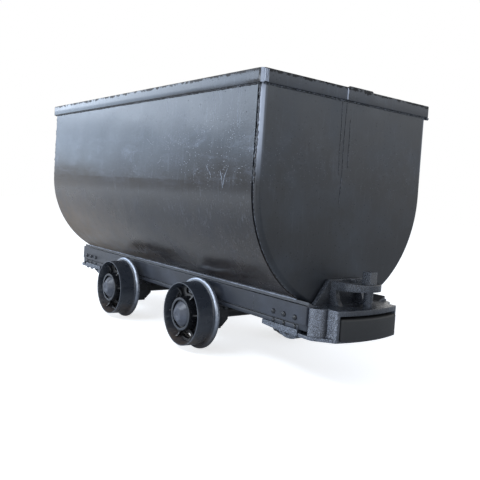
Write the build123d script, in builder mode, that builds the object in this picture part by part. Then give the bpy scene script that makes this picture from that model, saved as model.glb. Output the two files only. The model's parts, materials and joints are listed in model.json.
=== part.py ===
"""Fixed-body mine car of 1.7 cubic metres for 600 mm gauge track.

Millimetres. X runs along the track, Y across it and Z up. The origin is at
the middle of the car on the floor under the wheel flanges.
"""
from build123d import *
from math import sqrt
import os

# Overall. The rail top is one flange height above the origin.
OVERALL_LENGTH = 2400.0
WHEELBASE = 750.0
TREAD_DIA = 300.0
FLANGE_HEIGHT = 20.0

# How far each coupling end and each sill reach past the tub's end face
COUPLING_REACH = 194.0
SILL_REACH = 49.0

# Tub: a U-shaped sheet between two dished end plates
TUB_HALF_WIDTH = 512.0
BELLY_LOW_Z = 284.0
RIM_TOP_Z = 1220.0
SHEET_THICK = 5.0
END_EDGE_SHOWN = 25.0
END_LAP = 22.0
END_PLATE_THICK = 6.0
END_CORNER_RADIUS = 18.0

# Rim: a flat bar bent round the mouth of the tub, spliced at the front end
RIM_HEIGHT = 54.0
RIM_THICK = 12.0
RIM_STAND_UP = 6.0
RIM_CORNER_RADIUS = 24.0
SPLICE_LENGTH = 154.0
SPLICE_RISE = 6.0
SPLICE_SLOPE = 60.0
SPLICE_Y = 26.0

# Gap that a weld fills between two plates
WELD_GAP = 0.3

# Sills: rolled section with a grooved face and a top flange laid to the belly
SILL_HALF_WIDTH = 250.0
SILL_WIDTH = 66.0
SILL_LOW_Z = 226.0
SILL_LIP_HEIGHT = 19.0
SILL_LIP_SET_BACK = 3.0
SILL_GROOVE_HEIGHT = 5.0
SILL_GROOVE_DEPTH = 9.0
SILL_WEB_THICK = 9.0
SILL_TOP_DROP = 20.0
SILL_TOP_SET_BACK = 11.0
SILL_TOP_THICK = 10.0
SILL_LIP_COPE = 45.0
SILL_CORNER_RADIUS = 3.0

# Cross members: channels open below, saddled to the belly
CROSS_WIDTH = 90.0
CROSS_THICK = 8.0
CROSS_END_DISTANCE = 306.0

# Cast wheels
WHEEL_OUTER_Y = 391.0
TREAD_WIDTH = 86.0
TREAD_TAPER = 3.0
FLANGE_WIDTH = 25.0
FLANGE_SLOPE = 6.0
FLANGE_TIP_RADIUS = 10.0
FLANGE_ROOT_RADIUS = 7.0
RIM_LIP = 6.0
RIM_ROOT = 19.0
HUB_DIA = 153.0
HUB_RECESS_DIA = 132.0
HUB_ROOT_GROWTH = 6.0
WEB_INSET = 48.0
WEB_THICK = 13.0
RIB_COUNT = 6
RIB_THICK = 8.0
RIB_INSET = 5.0
RIB_RIM_INSET = 22.0
RIB_DIP = 36.0
RIB_PHASE = 4.0
RIB_ROOT = 2.0
WINDOW_ARC = 26.0
WINDOW_WIDTH = 28.0

# Hub caps and axles
CAP_BASE_DIA = 116.0
CAP_FACE_DIA = 62.0
CAP_REACH = 24.0
CAP_SEAT_INSET = 12.0
CAP_RIM = 6.0
CAP_EDGE_CHAMFER = 3.0
AXLE_DIA = 70.0
AXLE_END_GAP = 8.0
AXLE_RUNNING_GAP = 0.3

# Axle seats under the sills, closed from below by keepers
SEAT_OUTER_Y = 247.0
SEAT_WIDTH = 76.0
SEAT_TOP_LENGTH = 190.0
SEAT_LENGTH = 108.0
SEAT_FLANGE_THICK = 14.0
SEAT_SLOPE = 14.0
SEAT_DEPTH = 80.0
KEEPER_EAR_THICK = 20.0
KEEPER_LOW_LENGTH = 66.0
SNOUT_REACH = 34.0
SNOUT_WIDTH = 84.0
SNOUT_WALL = 11.0

# Buffer castings: X sizes are measured back from the pad's nose
BUFFER_TOP_Z = 323.0
BUFFER_LOW_Z = 198.0
PAD_STAND_OUT = 17.0
BUFFER_NOSE_RISE = 26.0
BUFFER_BACK_GAP = 4.0
BUFFER_TOP_THICK = 20.0
POCKET_FLOOR_THICK = 8.0
BUFFER_WALL = 14.0
BUFFER_CORNER_RADIUS = 7.0
POCKET_DEPTH = 93.0
WING_SET_IN = 5.0
WING_THICK = 14.0
WING_SIDE_LENGTH = 72.0
WING_CORNER_RADIUS = 26.0
WING_ROOT_RADIUS = 12.0
ARM_LENGTH = 213.0
ARM_WIDTH = 98.0
ARM_END_THICK = 19.0
ARM_DEEP_THICK = 26.0
ARM_HOLLOW = 3.0
SHOULDER_GAP = 2.0
SHOULDER_WIDTH = 54.0
SHOULDER_THICK = 6.0
SHOULDER_RADIUS = 52.0
KNEE_SET_BACK = 20.0
KNEE_LENGTH = 176.0
KNEE_DEPTH = 64.0
KNEE_WIDTH = 46.0

# Rubber pads in the buffers' pockets
PAD_SIDE_GAP = 4.0
PAD_HEIGHT = 86.0
PAD_NOSE_RISE = 28.0
PAD_CORNER_RADIUS = 12.0
PAD_EDGE_RADIUS = 7.0

# Coupling brackets on the buffers
BRACKET_BACK_GAP = 2.0
BRACKET_BACK_THICK = 20.0
BRACKET_TOP_Z = 424.0
BRACKET_BASE_INSET = 2.0
BRACKET_TOP_HALF = 98.0
LOOP_HALF_WIDTH = 93.0
LOOP_TOP_Z = 422.0
LOOP_LOW_Z = 387.0
LOOP_NOSE_RISE = 6.0
LOOP_NOSE_INSET = 12.0
LOOP_CORNER_RADIUS = 90.0
LOOP_EDGE_RADIUS = 4.0
LOOP_BAR_WIDTH = 30.0
LOOP_HOLE_RADIUS = 36.0
LEG_LENGTH = 28.0
LEG_THICK = 24.0
LEG_FLARE = 28.0
LEG_RADIUS = 62.0

# Coupling pins
PIN_INSET = 48.0
PIN_DIA = 38.0
PIN_HOLE_GAP = 1.0
PIN_HEAD_SIZE = 44.0
PIN_HEAD_HEIGHT = 46.0
PIN_HEAD_ROUND = 5.0
PIN_COLLAR_DIA = 58.0
PIN_COLLAR_THICK = 4.0

# Worked out from the sizes above
RAIL_TOP_Z = FLANGE_HEIGHT
AXLE_Z = RAIL_TOP_Z + TREAD_DIA / 2
AXLE_X = WHEELBASE / 2
NOSE_X = OVERALL_LENGTH / 2
END_FACE_X = NOSE_X - COUPLING_REACH
SHEET_HALF_LENGTH = END_FACE_X - END_EDGE_SHOWN
SILL_HALF_LENGTH = END_FACE_X + SILL_REACH
TUB_INNER = TUB_HALF_WIDTH - SHEET_THICK
BEND_CENTRE_Z = BELLY_LOW_Z + TUB_HALF_WIDTH
PLATE_TOP_Z = RIM_TOP_Z - RIM_STAND_UP
ENDS = (("front", 1), ("rear", -1))
SIDES = (("left", 1), ("right", -1))
STANDING = (Align.CENTER, Align.CENTER, Align.MIN)

os.makedirs("parts", exist_ok=True)


def save(piece, name):
    piece.part.label = name
    export_step(piece.part, f"parts/{name}.step")


def u_outline(half_width, top_z):
    """Closed outline of a U with straight sides and a half-round bottom."""
    with BuildLine() as outline:
        Polyline((half_width, BEND_CENTRE_Z), (half_width, top_z),
                 (-half_width, top_z), (-half_width, BEND_CENTRE_Z))
        ThreePointArc((-half_width, BEND_CENTRE_Z), (0, BEND_CENTRE_Z - half_width),
                      (half_width, BEND_CENTRE_Z))
    return outline.line


def belly_z(y, radius=TUB_HALF_WIDTH):
    """Height of the tub's round belly at a place across the car."""
    return BEND_CENTRE_Z - sqrt(radius**2 - y**2)


def bowed_front(corner_x, nose_x, half_width, back_x):
    """Closed plan outline with a straight back and a bowed front."""
    with BuildLine() as outline:
        Polyline((corner_x, half_width), (back_x, half_width), (back_x, -half_width),
                 (corner_x, -half_width))
        ThreePointArc((corner_x, -half_width), (nose_x, 0), (corner_x, half_width))
    return outline.line


# Tub sheet: sides and belly in one piece, open at the top and the ends
with BuildPart() as tub_sheet:
    with BuildSketch(Plane.YZ.offset(-SHEET_HALF_LENGTH)):
        with BuildLine():
            add(u_outline(TUB_HALF_WIDTH, PLATE_TOP_Z))
        make_face()
        with BuildLine():
            add(u_outline(TUB_INNER, RIM_TOP_Z))
        make_face(mode=Mode.SUBTRACT)
    extrude(amount=2 * SHEET_HALF_LENGTH)
save(tub_sheet, "tub_sheet")

# End plates: dished, with a turned edge that the sheet laps over
lap_x = SHEET_HALF_LENGTH - END_LAP
for end, along in ENDS:
    with BuildPart() as tub_end:
        with BuildSketch(Plane.YZ.offset(lap_x)):
            with BuildLine():
                add(u_outline(TUB_INNER - WELD_GAP, PLATE_TOP_Z))
            make_face()
        extrude(amount=END_FACE_X - lap_x)
        face_edges = tub_end.faces().sort_by(Axis.X)[-1].edges()
        fillet(face_edges.sort_by(Axis.Z)[:-1], radius=END_CORNER_RADIUS)
        with BuildSketch(Plane.YZ.offset(lap_x)):
            with BuildLine():
                add(u_outline(TUB_INNER - WELD_GAP - END_PLATE_THICK, RIM_TOP_Z))
            make_face()
        extrude(amount=END_FACE_X - END_PLATE_THICK - lap_x, mode=Mode.SUBTRACT)
        if along < 0:
            mirror(about=Plane.YZ, mode=Mode.REPLACE)
    save(tub_end, f"tub_end_{end}")

# Rim band round the outside of the tub's mouth
rim_inner_x = END_FACE_X + WELD_GAP
rim_inner_y = TUB_HALF_WIDTH + WELD_GAP
with BuildPart() as rim_band:
    with BuildSketch(Plane.XY.offset(RIM_TOP_Z - RIM_HEIGHT)):
        RectangleRounded(2 * (rim_inner_x + RIM_THICK), 2 * (rim_inner_y + RIM_THICK),
                         RIM_CORNER_RADIUS)
        RectangleRounded(2 * rim_inner_x, 2 * rim_inner_y, RIM_CORNER_RADIUS - RIM_THICK,
                         mode=Mode.SUBTRACT)
    extrude(amount=RIM_HEIGHT)
    with BuildSketch(Plane.YZ.offset(rim_inner_x)):
        with Locations((SPLICE_Y, RIM_TOP_Z)):
            Trapezoid(SPLICE_LENGTH, SPLICE_RISE, SPLICE_SLOPE, align=(Align.CENTER, Align.MIN))
    extrude(amount=RIM_THICK)
save(rim_band, "rim_band")

# Sills
seat_radius = TUB_HALF_WIDTH + WELD_GAP
sill_toe = SILL_HALF_WIDTH - SILL_WIDTH
lip_top_z = SILL_LOW_Z + SILL_LIP_HEIGHT
web_low_z = lip_top_z + SILL_GROOVE_HEIGHT
web_top_z = belly_z(SILL_HALF_WIDTH, seat_radius) - SILL_TOP_DROP
for hand, side in SIDES:
    lip_y = SILL_HALF_WIDTH - SILL_LIP_SET_BACK
    groove_y = SILL_HALF_WIDTH - SILL_GROOVE_DEPTH
    inner_y = groove_y - SILL_WEB_THICK
    edge_y = SILL_HALF_WIDTH - SILL_TOP_SET_BACK
    seat_outer = (edge_y, belly_z(edge_y, seat_radius))
    seat_toe = (sill_toe, belly_z(sill_toe, seat_radius))
    seat_mid_y = (seat_outer[0] + seat_toe[0]) / 2
    seat_mid = (seat_mid_y, belly_z(seat_mid_y, seat_radius))
    with BuildPart() as sill:
        with BuildSketch(Plane.YZ.offset(-SILL_HALF_LENGTH)) as sill_section:
            with BuildLine():
                Polyline(seat_outer, (edge_y, web_top_z), (SILL_HALF_WIDTH, web_top_z),
                         (SILL_HALF_WIDTH, web_low_z),
                         (groove_y, web_low_z), (groove_y, lip_top_z), (lip_y, lip_top_z),
                         (lip_y, SILL_LOW_Z), (sill_toe, SILL_LOW_Z),
                         (sill_toe, SILL_LOW_Z + SILL_TOP_THICK),
                         (inner_y, SILL_LOW_Z + SILL_TOP_THICK + SILL_WEB_THICK),
                         (inner_y, seat_toe[1] - SILL_TOP_THICK),
                         (sill_toe, seat_toe[1] - SILL_TOP_THICK), seat_toe)
                ThreePointArc(seat_toe, seat_mid, seat_outer)
            make_face()
            face_corners = sill_section.vertices().sort_by(Axis.X)[-2:]
            fillet(face_corners, radius=SILL_CORNER_RADIUS)
        extrude(amount=2 * SILL_HALF_LENGTH)
        for place in (SILL_HALF_LENGTH - SILL_LIP_COPE, -SILL_HALF_LENGTH):
            with BuildSketch(Plane.YZ.offset(place)):
                with Locations((groove_y, SILL_LOW_Z)):
                    Rectangle(SILL_GROOVE_DEPTH, web_low_z - SILL_LOW_Z,
                              align=(Align.MIN, Align.MIN))
            extrude(amount=SILL_LIP_COPE, mode=Mode.SUBTRACT)
        if side < 0:
            mirror(about=Plane.XZ, mode=Mode.REPLACE)
    save(sill, f"sill_{hand}")

# Cross members
cross_half = sill_toe - WELD_GAP
cross_end_x = END_FACE_X - CROSS_END_DISTANCE
for name, place in (("middle", 0.0), ("front", cross_end_x), ("rear", -cross_end_x)):
    with BuildPart() as cross_member:
        for radius, width, mode in ((seat_radius, CROSS_WIDTH, Mode.ADD),
                                    (seat_radius + CROSS_THICK, CROSS_WIDTH - 2 * CROSS_THICK,
                                     Mode.SUBTRACT)):
            side_top_z = belly_z(cross_half, radius)
            with BuildSketch(Plane.YZ.offset(place - width / 2)):
                with BuildLine():
                    Polyline((-cross_half, side_top_z), (-cross_half, SILL_LOW_Z),
                             (cross_half, SILL_LOW_Z), (cross_half, side_top_z))
                    ThreePointArc((-cross_half, side_top_z), (0, belly_z(0, radius)),
                                  (cross_half, side_top_z))
                make_face()
            extrude(amount=width, mode=mode)
    save(cross_member, f"cross_member_{name}")

# Wheelsets: an axle, two cast wheels and two hub caps turn together
tread_radius = TREAD_DIA / 2
flange_y = WHEEL_OUTER_Y - TREAD_WIDTH
back_y = flange_y - FLANGE_WIDTH
web_outer_y = WHEEL_OUTER_Y - WEB_INSET
web_inner_y = web_outer_y - WEB_THICK
lip_radius = tread_radius - RIM_LIP
rim_root_radius = tread_radius - RIM_ROOT
hub_radius = HUB_DIA / 2
hub_root_radius = hub_radius + HUB_ROOT_GROWTH
window_radius = (hub_root_radius + rim_root_radius) / 2
window_arc = CenterArc((0, 0), window_radius, -WINDOW_ARC / 2, WINDOW_ARC)
rib_y = WHEEL_OUTER_Y - RIB_INSET
rib_rim_y = WHEEL_OUTER_Y - RIB_RIM_INSET
rib_dip_y = WHEEL_OUTER_Y - RIB_DIP
rib_start = hub_radius - RIB_ROOT
rib_end = rim_root_radius + RIB_ROOT
rib_foot_y = web_outer_y - RIB_ROOT
cap_face_y = WHEEL_OUTER_Y + CAP_REACH
cap_seat_y = WHEEL_OUTER_Y - CAP_SEAT_INSET
axle_half_length = cap_seat_y - AXLE_END_GAP
for end, along in ENDS:
    centre = (along * AXLE_X, 0, AXLE_Z)
    section = Plane(origin=centre, x_dir=(1, 0, 0), z_dir=(0, 0, 1))
    across = Plane(origin=centre, x_dir=(1, 0, 0), z_dir=(0, -1, 0))
    spin = Axis(centre, (0, 1, 0))

    with BuildPart() as axle:
        with BuildSketch(across.offset(-axle_half_length)):
            Circle(AXLE_DIA / 2)
        extrude(amount=2 * axle_half_length)
    save(axle, f"axle_{end}")

    for hand, side in SIDES:
        with BuildPart() as wheel:
            with BuildSketch(section) as wheel_section:
                with BuildLine():
                    Polyline((AXLE_DIA / 2, back_y), (hub_radius, back_y),
                             (hub_root_radius, web_inner_y), (rim_root_radius, web_inner_y),
                             (lip_radius, back_y), (tread_radius + FLANGE_HEIGHT, back_y),
                             (tread_radius + FLANGE_HEIGHT, flange_y - FLANGE_SLOPE),
                             (tread_radius, flange_y), (tread_radius - TREAD_TAPER, WHEEL_OUTER_Y),
                             (lip_radius, WHEEL_OUTER_Y), (rim_root_radius, web_outer_y),
                             (hub_root_radius, web_outer_y), (hub_radius, WHEEL_OUTER_Y),
                             (HUB_RECESS_DIA / 2, WHEEL_OUTER_Y), (HUB_RECESS_DIA / 2, cap_seat_y),
                             (AXLE_DIA / 2, cap_seat_y), close=True)
                make_face()
                by_radius = wheel_section.vertices().sort_by(Axis.X)
                fillet(by_radius[-2:], radius=FLANGE_TIP_RADIUS)
                flange_root = wheel_section.vertices().sort_by_distance(
                    (tread_radius, flange_y, 0))[0]
                fillet(flange_root, radius=FLANGE_ROOT_RADIUS)
            revolve(axis=spin)
            with BuildSketch(across.offset(-web_outer_y)):
                with PolarLocations(0, RIB_COUNT, start_angle=180 / RIB_COUNT - RIB_PHASE):
                    SlotArc(window_arc, WINDOW_WIDTH)
            extrude(amount=WEB_THICK, mode=Mode.SUBTRACT)
            # Ribs: their outer edges dip between the hub and the rim
            rib_plane = section.offset(-RIB_THICK / 2)
            with BuildPart(mode=Mode.PRIVATE) as rib:
                with BuildSketch(rib_plane):
                    with BuildLine():
                        Polyline((rib_start, rib_y), (rib_start, rib_foot_y),
                                 (rib_end, rib_foot_y), (rib_end, rib_rim_y))
                        ThreePointArc((rib_end, rib_rim_y), (window_radius, rib_dip_y),
                                      (rib_start, rib_y))
                    make_face()
                extrude(amount=RIB_THICK)
            for number in range(RIB_COUNT):
                add(rib.part.rotate(spin, number * 360 / RIB_COUNT - RIB_PHASE))
            if side < 0:
                mirror(about=Plane.XZ, mode=Mode.REPLACE)
        save(wheel, f"wheel_{end}_{hand}")

        with BuildPart() as hub_cap:
            with BuildSketch(section) as cap_section:
                with BuildLine():
                    Polyline((CAP_FACE_DIA / 2, cap_face_y), (0, cap_face_y), (0, cap_seat_y),
                             (CAP_BASE_DIA / 2, cap_seat_y),
                             (CAP_BASE_DIA / 2, cap_seat_y + CAP_RIM))
                    Line((CAP_BASE_DIA / 2, cap_seat_y + CAP_RIM), (CAP_FACE_DIA / 2, cap_face_y))
                make_face()
                face_corners = cap_section.vertices().sort_by(Axis.Y)[-2:]
                chamfer(face_corners.sort_by(Axis.X)[-1], length=CAP_EDGE_CHAMFER)
            revolve(axis=spin)
            if side < 0:
                mirror(about=Plane.XZ, mode=Mode.REPLACE)
        save(hub_cap, f"hub_cap_{end}_{hand}")

# Axle seats and keepers
bore_radius = AXLE_DIA / 2 + AXLE_RUNNING_GAP
seat_inner_y = SEAT_OUTER_Y - SEAT_WIDTH
seat_low_z = AXLE_Z - SEAT_DEPTH
snout_y = seat_inner_y - SNOUT_REACH
half_top = SEAT_TOP_LENGTH / 2
half_body = SEAT_LENGTH / 2
half_low = KEEPER_LOW_LENGTH / 2
flange_low_z = SILL_LOW_Z - SEAT_FLANGE_THICK
seat_profile = ((half_body, AXLE_Z + WELD_GAP), (half_body, flange_low_z - SEAT_SLOPE),
                (half_top, flange_low_z), (half_top, SILL_LOW_Z))
keeper_profile = ((half_body, AXLE_Z), (half_body, AXLE_Z - KEEPER_EAR_THICK),
                  (half_low, seat_low_z))
for end, along in ENDS:
    for hand, side in SIDES:
        place = along * AXLE_X
        bore = Plane(origin=(place, 0, AXLE_Z), x_dir=(1, 0, 0), z_dir=(0, -1, 0))
        for name, profile, keep in (("axle_seat", seat_profile, Keep.TOP),
                                    ("axle_keeper", keeper_profile, Keep.BOTTOM)):
            right_half = [(place + x, z) for x, z in profile]
            left_half = [(place - x, z) for x, z in reversed(profile)]
            with BuildPart() as seat:
                with BuildSketch(Plane.YZ.offset(place - SNOUT_WIDTH / 2)):
                    Polygon((seat_inner_y, SILL_LOW_Z), (snout_y, AXLE_Z + bore_radius + SNOUT_WALL),
                            (snout_y, AXLE_Z - bore_radius), (seat_inner_y, seat_low_z + SNOUT_WALL),
                            align=None)
                extrude(amount=SNOUT_WIDTH)
                split(bisect_by=Plane.XY.offset(profile[0][1]), keep=keep)
                with BuildSketch(Plane.XZ.offset(-SEAT_OUTER_Y)):
                    Polygon(*right_half, *left_half, align=None)
                extrude(amount=SEAT_WIDTH)
                with BuildSketch(bore.offset(-SEAT_OUTER_Y)):
                    Circle(bore_radius)
                extrude(amount=SEAT_WIDTH + SNOUT_REACH, mode=Mode.SUBTRACT)
                if side < 0:
                    mirror(about=Plane.XZ, mode=Mode.REPLACE)
            save(seat, f"{name}_{end}_{hand}")

# Buffer castings
buffer_half = SILL_HALF_WIDTH - SILL_WIDTH
wing_half = SILL_HALF_WIDTH - WING_SET_IN
arm_inner_y = SILL_HALF_WIDTH - ARM_WIDTH
buffer_nose_x = NOSE_X - PAD_STAND_OUT
buffer_corner_x = buffer_nose_x - BUFFER_NOSE_RISE
buffer_back_x = END_FACE_X + BUFFER_BACK_GAP
pocket_back_x = buffer_nose_x - POCKET_DEPTH
pocket_half = buffer_half - BUFFER_WALL
pad_half = pocket_half - PAD_SIDE_GAP
wing_top_z = BUFFER_LOW_Z + WING_THICK
floor_z = BUFFER_LOW_Z + POCKET_FLOOR_THICK
ceiling_z = BUFFER_TOP_Z - BUFFER_TOP_THICK
root_end_x = buffer_corner_x - 2 * WING_ROOT_RADIUS
shoulder_x = SILL_HALF_LENGTH + SHOULDER_GAP
arm_end_x = buffer_back_x - ARM_LENGTH
arm_end_z = SILL_LOW_Z - ARM_END_THICK
arm_deep_z = SILL_LOW_Z - ARM_DEEP_THICK
knee_start_x = arm_end_x + KNEE_SET_BACK
knee_end_x = knee_start_x + KNEE_LENGTH
knee_mid = ((knee_start_x + knee_end_x) / 2, SILL_LOW_Z - KNEE_DEPTH)
pin_x = NOSE_X - PIN_INSET
pin_hole_radius = (PIN_DIA + PIN_HOLE_GAP) / 2
for end, along in ENDS:
    with BuildPart() as buffer:
        with BuildSketch(Plane.XY.offset(BUFFER_LOW_Z)):
            with BuildLine():
                add(bowed_front(buffer_corner_x, buffer_nose_x, buffer_half, buffer_back_x))
            make_face()
        extrude(amount=BUFFER_TOP_Z - BUFFER_LOW_Z)
        fillet(buffer.edges().filter_by(Axis.Z).sort_by(Axis.X)[-2:], BUFFER_CORNER_RADIUS)
        # Floor plate with a wing on each side
        with BuildSketch(Plane.XY.offset(BUFFER_LOW_Z)) as floor_plan:
            wing_front_x = buffer_back_x + WING_SIDE_LENGTH
            Polygon((buffer_back_x, wing_half), (wing_front_x, wing_half),
                    (buffer_corner_x, buffer_half), (buffer_corner_x, -buffer_half),
                    (wing_front_x, -wing_half), (buffer_back_x, -wing_half),
                    align=None)
            wing_corners = floor_plan.vertices().filter_by_position(
                Axis.X, wing_front_x - 1, wing_front_x + 1)
            fillet(wing_corners, WING_CORNER_RADIUS)
        extrude(amount=WING_THICK)
        # Rounded roots where the wings meet the sides
        for side in (1, -1):
            root_foot = (side * (buffer_half + WING_ROOT_RADIUS), wing_top_z)
            root_top = (side * buffer_half, wing_top_z + WING_ROOT_RADIUS)
            with BuildSketch(Plane.YZ.offset(buffer_back_x)):
                with BuildLine():
                    Polyline(root_top, (side * buffer_half, wing_top_z), root_foot)
                    RadiusArc(root_foot, root_top, side * WING_ROOT_RADIUS)
                make_face()
            extrude(amount=root_end_x - buffer_back_x)
            # Shoulder that the sill's end butts against, swept into the side
            shoulder_foot = (shoulder_x + SHOULDER_RADIUS, side * buffer_half)
            shoulder_tip = (shoulder_x + SHOULDER_THICK, side * (buffer_half + SHOULDER_WIDTH))
            with BuildSketch(Plane.XY.offset(BUFFER_LOW_Z)):
                with BuildLine():
                    Polyline(shoulder_foot, (shoulder_x, side * buffer_half),
                             (shoulder_x, shoulder_tip[1]), shoulder_tip)
                    RadiusArc(shoulder_tip, shoulder_foot, side * SHOULDER_RADIUS)
                make_face()
            extrude(amount=BUFFER_TOP_Z - BUFFER_LOW_Z)
        # Arms under the sills, each with a rounded knee inside it
        for side in (1, -1):
            with BuildSketch(Plane.XZ.offset(-side * SILL_HALF_WIDTH)):
                with BuildLine():
                    Polyline((arm_end_x, arm_end_z), (arm_end_x, SILL_LOW_Z),
                             (buffer_back_x, SILL_LOW_Z), (buffer_back_x, arm_deep_z))
                    SagittaArc((buffer_back_x, arm_deep_z), (arm_end_x, arm_end_z), ARM_HOLLOW)
                make_face()
            extrude(amount=side * (SILL_HALF_WIDTH - arm_inner_y))
            with BuildSketch(Plane.XZ.offset(-side * (arm_inner_y + KNEE_WIDTH))):
                with BuildLine():
                    Polyline((knee_start_x, arm_end_z), (knee_start_x, SILL_LOW_Z),
                             (knee_end_x, SILL_LOW_Z), (knee_end_x, arm_deep_z))
                    ThreePointArc((knee_end_x, arm_deep_z), knee_mid, (knee_start_x, arm_end_z))
                make_face()
            extrude(amount=side * KNEE_WIDTH)
        # Pocket for the pad, core hole behind it and hole for the pin
        with BuildSketch(Plane.XY.offset(floor_z)):
            with Locations((pocket_back_x, 0)):
                Rectangle(2 * POCKET_DEPTH, 2 * pocket_half, align=(Align.MIN, Align.CENTER))
        extrude(amount=ceiling_z - floor_z, mode=Mode.SUBTRACT)
        with BuildSketch(Plane.XY.offset(BUFFER_LOW_Z)):
            with Locations(((buffer_back_x + pocket_back_x) / 2, 0)):
                RectangleRounded(pocket_back_x - buffer_back_x - 2 * BUFFER_WALL,
                                 2 * (pocket_half - BUFFER_WALL), BUFFER_WALL)
        extrude(amount=ceiling_z - BUFFER_LOW_Z, mode=Mode.SUBTRACT)
        with BuildSketch(Plane.XY.offset(ceiling_z)):
            with Locations((pin_x, 0)):
                Circle(pin_hole_radius)
        extrude(amount=BUFFER_TOP_THICK, mode=Mode.SUBTRACT)
        if along < 0:
            mirror(about=Plane.YZ, mode=Mode.REPLACE)
    save(buffer, f"buffer_{end}")

    with BuildPart() as buffer_pad:
        with BuildSketch(Plane.XY.offset(floor_z + WELD_GAP)):
            with BuildLine():
                add(bowed_front(NOSE_X - PAD_NOSE_RISE, NOSE_X, pad_half,
                                pocket_back_x + WELD_GAP))
            make_face()
        extrude(amount=PAD_HEIGHT)
        fillet(buffer_pad.edges().filter_by(Axis.Z).sort_by(Axis.X)[-2:], PAD_CORNER_RADIUS)
        front_face = buffer_pad.faces().sort_by(Axis.X)[-1]
        fillet(front_face.edges().sort_by(Axis.Z)[-1], PAD_EDGE_RADIUS)
        if along < 0:
            mirror(about=Plane.YZ, mode=Mode.REPLACE)
    save(buffer_pad, f"buffer_pad_{end}")

# Coupling brackets: a back plate, two flared legs and a horseshoe that thins to its nose
bracket_back_x = buffer_back_x + BRACKET_BACK_GAP
bracket_base_half = buffer_half - BRACKET_BASE_INSET
bracket_face_x = bracket_back_x + BRACKET_BACK_THICK
leg_front_x = bracket_face_x + LEG_LENGTH
leg_foot_x = leg_front_x + LEG_FLARE
loop_tip_x = NOSE_X - LOOP_NOSE_INSET
hole_front_x = pin_x - PIN_DIA
for end, along in ENDS:
    with BuildPart() as bracket:
        with BuildSketch(Plane.XY.offset(LOOP_LOW_Z)) as loop_plan:
            with Locations((bracket_back_x, 0)):
                Rectangle(loop_tip_x - bracket_back_x, 2 * LOOP_HALF_WIDTH,
                          align=(Align.MIN, Align.CENTER))
            fillet(loop_plan.vertices().sort_by(Axis.X)[-2:], LOOP_CORNER_RADIUS)
        extrude(amount=LOOP_TOP_Z - LOOP_LOW_Z)
        top_edges = bracket.faces().sort_by(Axis.Z)[-1].edges().sort_by(Axis.X)
        fillet(top_edges[1:], LOOP_EDGE_RADIUS)
        with BuildSketch(Plane.XY.offset(LOOP_LOW_Z)):
            with Locations((bracket_face_x, 0)):
                RectangleRounded(hole_front_x - bracket_face_x,
                                 2 * (LOOP_HALF_WIDTH - LOOP_BAR_WIDTH), LOOP_HOLE_RADIUS,
                                 align=(Align.MIN, Align.CENTER))
            with Locations((pin_x, 0)):
                Circle(pin_hole_radius)
        extrude(amount=LOOP_TOP_Z - LOOP_LOW_Z, mode=Mode.SUBTRACT)
        with BuildSketch(Plane.XZ.offset(-LOOP_HALF_WIDTH)):
            Polygon((leg_front_x, LOOP_LOW_Z), (loop_tip_x, LOOP_LOW_Z),
                    (loop_tip_x, LOOP_LOW_Z + LOOP_NOSE_RISE), align=None)
        extrude(amount=2 * LOOP_HALF_WIDTH, mode=Mode.SUBTRACT)
        with BuildSketch(Plane.YZ.offset(bracket_back_x)):
            Polygon((bracket_base_half, BUFFER_TOP_Z), (BRACKET_TOP_HALF, BRACKET_TOP_Z),
                    (-BRACKET_TOP_HALF, BRACKET_TOP_Z), (-bracket_base_half, BUFFER_TOP_Z),
                    align=None)
        extrude(amount=BRACKET_BACK_THICK)
        for side in (1, -1):
            with BuildSketch(Plane.XZ.offset(-side * LOOP_HALF_WIDTH)):
                with BuildLine():
                    Polyline((leg_front_x, LOOP_LOW_Z), (bracket_back_x, LOOP_LOW_Z),
                             (bracket_back_x, BUFFER_TOP_Z), (leg_foot_x, BUFFER_TOP_Z))
                    RadiusArc((leg_foot_x, BUFFER_TOP_Z), (leg_front_x, LOOP_LOW_Z), LEG_RADIUS)
                make_face()
            extrude(amount=side * LEG_THICK)
        if along < 0:
            mirror(about=Plane.YZ, mode=Mode.REPLACE)
    save(bracket, f"coupler_bracket_{end}")

    with BuildPart() as pin:
        with Locations((along * pin_x, 0, ceiling_z)):
            Cylinder(PIN_DIA / 2, LOOP_TOP_Z - ceiling_z, align=STANDING)
        with Locations((along * pin_x, 0, LOOP_TOP_Z)):
            Cylinder(PIN_COLLAR_DIA / 2, PIN_COLLAR_THICK, align=STANDING)
        with BuildSketch(Plane.XY.offset(LOOP_TOP_Z + PIN_COLLAR_THICK)):
            with Locations((along * pin_x, 0)):
                RectangleRounded(PIN_HEAD_SIZE, PIN_HEAD_SIZE, PIN_HEAD_ROUND)
        extrude(amount=PIN_HEAD_HEIGHT)
    save(pin, f"coupling_pin_{end}")
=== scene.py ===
"""A fixed-body mine car in black paint, on a pale floor."""
import json
import math

import bpy
from mathutils import Matrix, Vector


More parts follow.
